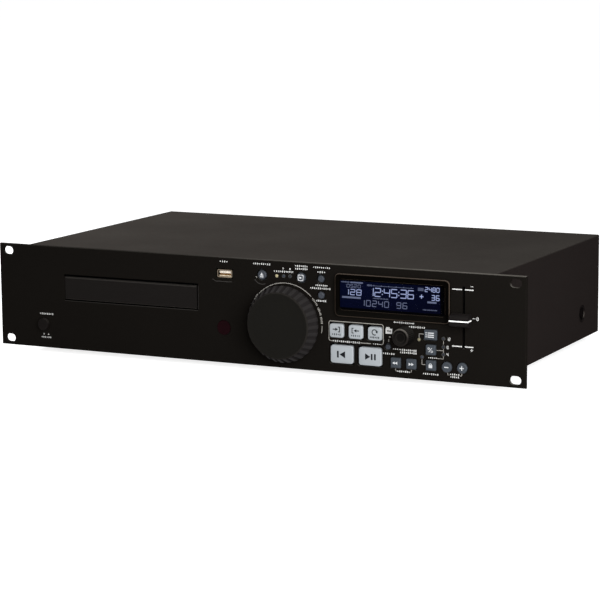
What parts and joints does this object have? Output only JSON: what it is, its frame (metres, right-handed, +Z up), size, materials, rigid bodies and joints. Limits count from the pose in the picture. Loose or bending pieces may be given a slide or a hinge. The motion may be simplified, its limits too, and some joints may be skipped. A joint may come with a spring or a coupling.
{
  "type": "rack media player",
  "caption": "Two-unit rack media player with motorised disc tray, jog wheel, backlit display, pitch fader, USB port and a field of push keys.",
  "frame": {"origin": "on the floor plane under the feet, below the middle of the whole box", "axes": "+Z up, front panel facing -Y, +X towards the panel's right end as the user sees it"},
  "size_m": [0.4826, 0.272, 0.0921],
  "materials": {
    "black_panel": "fine matt black paint",
    "case_paint": "textured black powder coat",
    "zinc_steel": "zinc-plated sheet steel",
    "rubber": "matt black rubber",
    "screw_steel": "blackened steel",
    "black_plastic": "fine-grained black plastic",
    "soft_black": "soft-touch black coating",
    "pale_key": "pale grey moulded key",
    "slate_key": "slate grey moulded key",
    "clear_window": "clear acrylic",
    "red_window": "deep red infrared filter",
    "light_pipe": "clear light pipe",
    "board": "green solder mask",
    "core_steel": "laminated core with wound bobbin",
    "grey_plastic": "grey moulded plastic",
    "white_gear": "natural acetal",
    "nickel": "nickel-plated"
  },
  "bodies": {
    "chassis": {"front_panel": "black_panel", "top_cover": "case_paint", "base_chassis": "zinc_steel", "rear_panel": "case_paint", "front_left_foot": "rubber", "front_right_foot": "rubber", "rear_left_foot": "rubber", "rear_right_foot": "rubber", "left_front_cover_screw": "screw_steel", "left_rear_cover_screw": "screw_steel", "right_front_cover_screw": "screw_steel", "right_rear_cover_screw": "screw_steel", "tray_motor": "zinc_steel", "drive_frame": "grey_plastic", "clamp_bridge": "zinc_steel", "spindle_motor": "zinc_steel", "display_bezel": "black_plastic", "display_window": "clear_window", "display_module": "board", "infrared_window": "red_window", "usb_socket": "nickel", "source_light_pipe": "light_pipe", "pitch_range_light_pipe": "light_pipe", "status_light_pipe": "light_pipe", "control_board": "board", "main_board": "board", "mains_transformer": "core_steel", "power_switch": "grey_plastic", "mains_inlet": "black_plastic", "audio_output_sockets": "nickel", "jog_encoder": "zinc_steel", "track_encoder": "zinc_steel", "pitch_fader": "zinc_steel"},
    "tray": {"disc_tray": "black_plastic", "tray_door": "black_plastic"},
    "pinion": {"tray_pinion": "white_gear"},
    "spindle": {"turntable": "black_plastic"},
    "clamp": {"clamp_puck": "black_plastic"},
    "laser": {"laser_sled": "nickel"},
    "jog": {"jog_wheel": "soft_black"},
    "track": {"track_knob": "soft_black"},
    "fader": {"pitch_fader_cap": "soft_black"},
    "eject_key": {"eject_button": "slate_key"},
    "source_key": {"source_button": "slate_key"},
    "time_key": {"time_button": "slate_key"},
    "menu_key": {"menu_button": "slate_key"},
    "folder_key": {"folder_button": "slate_key"},
    "minus_key": {"minus_button": "slate_key"},
    "plus_key": {"plus_button": "slate_key"},
    "loop_in_key": {"loop_in_button": "pale_key"},
    "loop_out_key": {"loop_out_button": "pale_key"},
    "reloop_key": {"reloop_button": "pale_key"},
    "cue_key": {"cue_button": "pale_key"},
    "play_key": {"play_button": "pale_key"},
    "rewind_key": {"rewind_button": "slate_key"},
    "forward_key": {"forward_button": "slate_key"},
    "database_key": {"database_button": "slate_key"},
    "percent_key": {"percent_button": "slate_key"},
    "key_lock_key": {"key_lock_button": "slate_key"},
    "power_key": {"power_button": "black_plastic"}
  },
  "joints": [
    {"name": "tray_slide", "type": "slide", "parent": "chassis", "child": "tray", "axis": [0, -1, 0], "range_m": [0, 0.135]},
    {"name": "pinion_spin", "type": "hinge", "parent": "chassis", "child": "pinion", "pos_m": [-0.0755, -0.099, 0.0487], "axis": [0, 0, 1], "range_deg": [-745, 8]},
    {"name": "spindle_spin", "type": "hinge", "parent": "chassis", "child": "spindle", "pos_m": [-0.1118, -0.049, 0.05], "axis": [0, 0, 1], "continuous": true},
    {"name": "clamp_spin", "type": "hinge", "parent": "chassis", "child": "clamp", "pos_m": [-0.1118, -0.049, 0.06], "axis": [0, 0, 1], "continuous": true},
    {"name": "laser_slide", "type": "slide", "parent": "chassis", "child": "laser", "axis": [0, 1, 0], "range_m": [0, 0.033]},
    {"name": "jog_spin", "type": "hinge", "parent": "chassis", "child": "jog", "pos_m": [0.03349, -0.121, 0.0411], "axis": [0, -1, 0], "continuous": true},
    {"name": "track_spin", "type": "hinge", "parent": "chassis", "child": "track", "pos_m": [0.14058, -0.121, 0.039], "axis": [0, -1, 0], "continuous": true},
    {"name": "pitch_slide", "type": "slide", "parent": "chassis", "child": "fader", "axis": [0, 0, 1], "range_m": [-0.0213, 0.0237]},
    {"name": "eject_press", "type": "slide", "parent": "chassis", "child": "eject_key", "axis": [0, 1, 0], "range_m": [0, 0.001], "stiffness_N_per_m": 400, "springref_m": -0.001},
    {"name": "source_press", "type": "slide", "parent": "chassis", "child": "source_key", "axis": [0, 1, 0], "range_m": [0, 0.001], "stiffness_N_per_m": 400, "springref_m": -0.001},
    {"name": "time_press", "type": "slide", "parent": "chassis", "child": "time_key", "axis": [0, 1, 0], "range_m": [0, 0.001], "stiffness_N_per_m": 400, "springref_m": -0.001},
    {"name": "menu_press", "type": "slide", "parent": "chassis", "child": "menu_key", "axis": [0, 1, 0], "range_m": [0, 0.001], "stiffness_N_per_m": 400, "springref_m": -0.001},
    {"name": "folder_press", "type": "slide", "parent": "chassis", "child": "folder_key", "axis": [0, 1, 0], "range_m": [0, 0.001], "stiffness_N_per_m": 400, "springref_m": -0.001},
    {"name": "minus_press", "type": "slide", "parent": "chassis", "child": "minus_key", "axis": [0, 1, 0], "range_m": [0, 0.001], "stiffness_N_per_m": 400, "springref_m": -0.001},
    {"name": "plus_press", "type": "slide", "parent": "chassis", "child": "plus_key", "axis": [0, 1, 0], "range_m": [0, 0.001], "stiffness_N_per_m": 400, "springref_m": -0.001},
    {"name": "loop_in_press", "type": "slide", "parent": "chassis", "child": "loop_in_key", "axis": [0, 1, 0], "range_m": [0, 0.001], "stiffness_N_per_m": 400, "springref_m": -0.001},
    {"name": "loop_out_press", "type": "slide", "parent": "chassis", "child": "loop_out_key", "axis": [0, 1, 0], "range_m": [0, 0.001], "stiffness_N_per_m": 400, "springref_m": -0.001},
    {"name": "reloop_press", "type": "slide", "parent": "chassis", "child": "reloop_key", "axis": [0, 1, 0], "range_m": [0, 0.001], "stiffness_N_per_m": 400, "springref_m": -0.001},
    {"name": "cue_press", "type": "slide", "parent": "chassis", "child": "cue_key", "axis": [0, 1, 0], "range_m": [0, 0.001], "stiffness_N_per_m": 400, "springref_m": -0.001},
    {"name": "play_press", "type": "slide", "parent": "chassis", "child": "play_key", "axis": [0, 1, 0], "range_m": [0, 0.001], "stiffness_N_per_m": 400, "springref_m": -0.001},
    {"name": "rewind_press", "type": "slide", "parent": "chassis", "child": "rewind_key", "axis": [0, 1, 0], "range_m": [0, 0.001], "stiffness_N_per_m": 400, "springref_m": -0.001},
    {"name": "forward_press", "type": "slide", "parent": "chassis", "child": "forward_key", "axis": [0, 1, 0], "range_m": [0, 0.001], "stiffness_N_per_m": 400, "springref_m": -0.001},
    {"name": "database_press", "type": "slide", "parent": "chassis", "child": "database_key", "axis": [0, 1, 0], "range_m": [0, 0.001], "stiffness_N_per_m": 400, "springref_m": -0.001},
    {"name": "percent_press", "type": "slide", "parent": "chassis", "child": "percent_key", "axis": [0, 1, 0], "range_m": [0, 0.001], "stiffness_N_per_m": 400, "springref_m": -0.001},
    {"name": "key_lock_press", "type": "slide", "parent": "chassis", "child": "key_lock_key", "axis": [0, 1, 0], "range_m": [0, 0.001], "stiffness_N_per_m": 400, "springref_m": -0.001},
    {"name": "power_press", "type": "slide", "parent": "chassis", "child": "power_key", "axis": [0, 1, 0], "range_m": [0, 0.0022], "stiffness_N_per_m": 400, "springref_m": -0.001}
  ],
  "couplings": [
    {"joint": "pinion_spin", "follows": "tray_slide", "rad_per_m": -95.238},
    {"joint": "clamp_spin", "follows": "spindle_spin", "ratio": 1}
  ]
}
